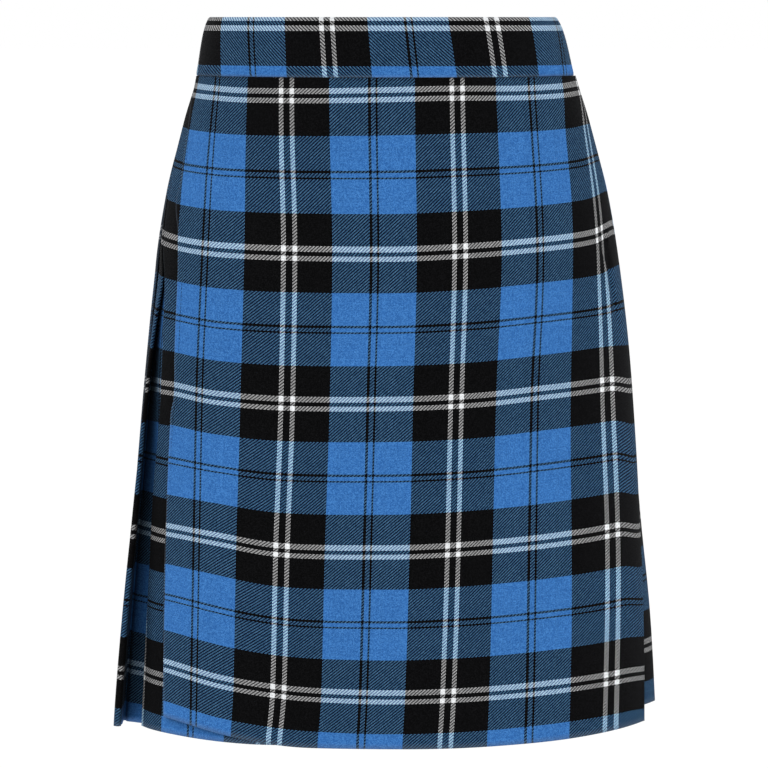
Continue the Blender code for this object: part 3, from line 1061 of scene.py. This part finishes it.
    rough = weave.math("ADD", weave.between(fibres, 0.84, 0.98), weave.math("MULTIPLY", rub, 0.02))
    weave.join(rough, weave.shader.inputs["Roughness"])
    weave.shader.inputs["Specular IOR Level"].default_value = 0.05
    weave.shader.inputs["Sheen Weight"].default_value = 0.01
    weave.shader.inputs["Sheen Roughness"].default_value = 0.45
    weave.shader.inputs["Sheen Tint"].default_value = (0.75, 0.85, 1.0, 1.0)

    bump = weave.node("ShaderNodeBump")
    relief = weave.math("ADD", height, weave.math("MULTIPLY", fibres, 0.35))
    weave.join(relief, bump.inputs["Height"])
    bump.inputs["Strength"].default_value = 0.35
    bump.inputs["Distance"].default_value = 0.25 * MM
    weave.join(bump.outputs[0], weave.shader.inputs["Normal"])
    return material


def thread_material():
    """Twisted sewing thread."""
    material = bpy.data.materials.new("sewing_thread")
    weave = Weave(material)
    where = weave.node("ShaderNodeTexCoord").outputs["Object"]
    twist = weave.noise(where, 900.0, 2.0)
    twisted = weave.shaded(linear(10, 14, 26)[:3], weave.between(twist, 0.7, 1.4))
    weave.join(twisted, weave.shader.inputs["Base Color"])
    weave.join(weave.between(twist, 0.6, 0.8), weave.shader.inputs["Roughness"])
    weave.shader.inputs["Specular IOR Level"].default_value = 0.2
    bump = weave.node("ShaderNodeBump")
    weave.join(twist, bump.inputs["Height"])
    bump.inputs["Strength"].default_value = 0.4
    bump.inputs["Distance"].default_value = 0.1 * MM
    weave.join(bump.outputs[0], weave.shader.inputs["Normal"])
    return material


def stitch_line(name, places, material):
    """Short sunk stitches along a line of places, joined in one mesh."""
    lengths = [0.0]
    for before, here in zip(places, places[1:]):
        lengths.append(lengths[-1] + (here - before).length)

    def at(distance):
        i = min(len(places) - 2, max(0, bisect_right(lengths, distance) - 1))
        share = (distance - lengths[i]) / (lengths[i + 1] - lengths[i])
        return places[i].lerp(places[i + 1], share)

    sewn = bmesh.new()
    distance = STITCH_GAP
    rings = ((0.0, 0.25), (0.12, 0.8), (0.35, 1.0), (0.65, 1.0), (0.88, 0.8), (1.0, 0.25))
    while distance + STITCH_LENGTH < lengths[-1]:
        start, end = at(distance), at(distance + STITCH_LENGTH)
        along = (end - start).normalized()
        side = along.cross(Vector((0, 0, 1))) if abs(along.z) < 0.9 else along.cross(Vector((1, 0, 0)))
        side.normalize()
        other = along.cross(side)
        loops = []
        for share, size in rings:
            centre = start.lerp(end, share)
            loop = []
            for i in range(STITCH_SIDES):
                angle = 2 * math.pi * i / STITCH_SIDES
                offset = (side * math.cos(angle) + other * math.sin(angle)) * STITCH_RADIUS * size
                loop.append(sewn.verts.new(centre + offset))
            loops.append(loop)
        for a, b in zip(loops, loops[1:]):
            for i in range(STITCH_SIDES):
                after = (i + 1) % STITCH_SIDES
                sewn.faces.new((a[i], a[after], b[after], b[i]))
        sewn.faces.new(loops[0][::-1])
        sewn.faces.new(loops[-1])
        distance += STITCH_LENGTH + STITCH_GAP
    bmesh.ops.recalc_face_normals(sewn, faces=sewn.faces)
    mesh = bpy.data.meshes.new(name)
    sewn.to_mesh(mesh)
    sewn.free()
    mesh.shade_smooth()
    mesh.materials.append(material)
    piece = bpy.data.objects.new(name, mesh)
    bpy.context.scene.collection.objects.link(piece)
    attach(piece, "root")
    return piece


def edge_stitching(material):
    """The stitching that holds the turning inside the over apron's free edge."""
    places = []
    for drop in sheet_rows():
        ring = ring_at(drop)
        along = ring.along(-180.0 + FREE(drop)) + STITCH_INSET(drop)
        degrees = ring.degrees(along)
        out = over_out(degrees, drop) - GROOVE_DEPTH + CLOTH_WALL / 2 + 0.02 * MM
        places.append(Vector(ring.place(along, out, over_lift(degrees, drop))))
    return stitch_line("edge_stitches", places, material)


def pale_material():
    """Smooth pale paint with a faint unevenness, for the floor."""
    material = bpy.data.materials.new("pale_floor")
    weave = Weave(material)
    where = weave.node("ShaderNodeTexCoord").outputs["Object"]
    cloudy = weave.noise(where, 0.4, 1.0)
    weave.join(weave.between(cloudy, 0.95, 0.97), weave.shader.inputs["Base Color"])
    weave.shader.inputs["Roughness"].default_value = 0.9
    weave.shader.inputs["Specular IOR Level"].default_value = 0.0
    weave.shader.inputs["Emission Color"].default_value = (1.0, 1.0, 1.0, 1.0)
    weave.shader.inputs["Emission Strength"].default_value = 0.06
    return material


def floor():
    bpy.ops.mesh.primitive_plane_add(size=240.0, location=(0.0, 0.0, FLOOR_Z))
    plane = bpy.context.object
    plane.name = "floor"
    plane.data.materials.append(pale_material())


def soft_light(name, place, target, size, power):
    lamp = bpy.data.lights.new(name, "AREA")
    lamp.shape = "RECTANGLE"
    lamp.size, lamp.size_y = size
    lamp.energy = power
    light = bpy.data.objects.new(name, lamp)
    light.location = place
    light.rotation_euler = (Vector(target) - Vector(place)).to_track_quat("-Z", "Y").to_euler()
    bpy.context.scene.collection.objects.link(light)


def studio():
    """Even pale surroundings, and two large soft lights in front."""
    scene = bpy.context.scene
    scene.view_settings.view_transform = "Standard"
    world = bpy.data.worlds.new("studio")
    world.use_nodes = True
    surroundings = world.node_tree.nodes["Background"]
    surroundings.inputs["Color"].default_value = (1.0, 1.0, 1.0, 1.0)
    surroundings.inputs["Strength"].default_value = 1.0
    scene.world = world
    soft_light("left_light", (-2.2, -3.0, 1.2), (0, 0, -0.3), (1.6, 2.2), 9.0)
    soft_light("right_light", (2.4, -2.6, 0.9), (0, 0, -0.3), (1.6, 2.2), 5.0)


def camera():
    lens = bpy.data.cameras.new("camera")
    lens.lens = CAMERA_LENS
    lens.sensor_width = CAMERA_SENSOR
    seen = bpy.data.objects.new("camera", lens)
    seen.location = CAMERA_PLACE
    seen.rotation_euler = (math.pi / 2 - CAMERA_DOWN, 0.0, 0.0)
    bpy.context.scene.collection.objects.link(seen)
    bpy.context.scene.camera = seen


camera()
studio()
floor()

skirt_cloth = tartan_material("tartan_skirt", 1)
band_cloth = tartan_material("tartan_band", -1)
thread = thread_material()


def hung(lift):
    """A lift by angle and drop, as one by the distance along a ring."""
    return lambda ring, along: lift(ring.degrees(along), ring.drop)


def hung_behind(lift):
    """The same for a piece that starts behind and is counted on past one full round."""
    def lifted(ring, along):
        if along > ring.round * 0.55:
            return lift(ring.degrees(along) - 360.0, ring.drop)
        return 0.0
    return lifted


skirt_piece("over_apron", over_apron_profile, hung(over_lift), skirt_cloth)
skirt_piece(
    "under_apron", under_apron_profile, hung_behind(under_lift), skirt_cloth
)
first = 0
for node, count in zip(("left_pleats", "back_pleats", "right_pleats"), PLEATS_PER_LENGTH):
    last = first + count
    skirt_piece(
        node,
        lambda ring, first=first, last=last: pleat_profile(ring, first, last),
        pleat_lift,
        skirt_cloth,
    )
    first = last
band_piece(band_cloth)
edge_stitching(thread)
